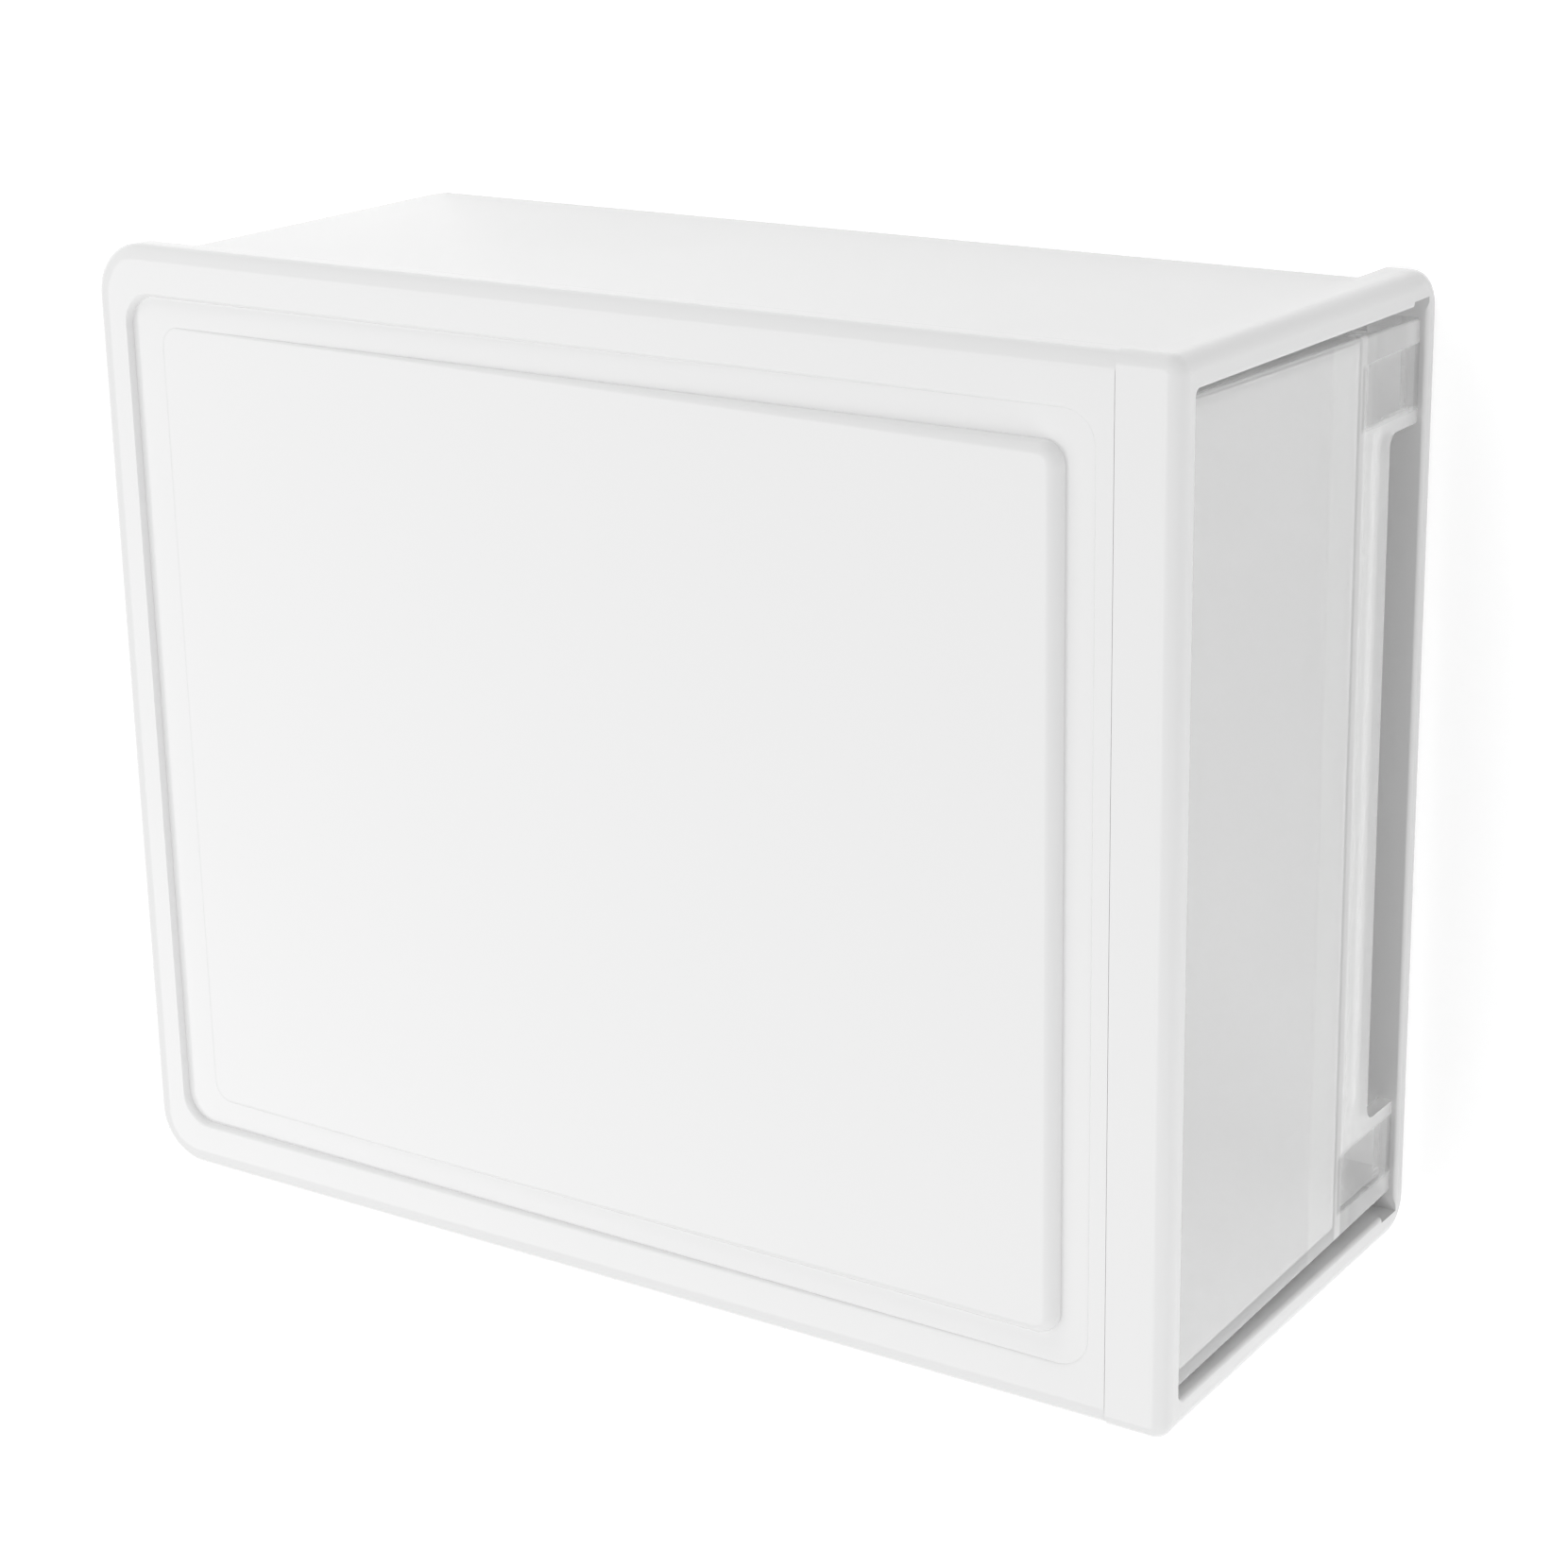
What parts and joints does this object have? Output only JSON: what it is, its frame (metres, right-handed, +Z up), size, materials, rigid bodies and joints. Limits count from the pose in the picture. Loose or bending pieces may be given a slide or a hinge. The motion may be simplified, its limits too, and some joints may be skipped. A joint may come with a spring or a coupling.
{
  "type": "storage drawer box",
  "caption": "Stackable plastic storage box: a glossy white panelled case with a front frame and a clear sliding drawer with a finger notch.",
  "frame": {"origin": "middle of the footprint, on the surface the box stands on", "axes": "+X to the box's right, -Y out of the drawer front, +Z up"},
  "size_m": [0.28, 0.343, 0.1519],
  "materials": {
    "case_white": "glossy white moulded plastic",
    "frame_white": "glossy white moulded plastic",
    "drawer_clear": "clear glossy moulded plastic"
  },
  "bodies": {
    "case": {"front_frame": "frame_white", "top_panel": "case_white", "right_side_panel": "case_white", "left_side_panel": "case_white", "back_panel": "case_white", "bottom_panel": "case_white"},
    "drawer": {"drawer": "drawer_clear"}
  },
  "joints": [
    {"name": "drawer_slide", "type": "slide", "parent": "case", "child": "drawer", "axis": [0, -1, 0], "range_m": [0, 0.25]}
  ]
}
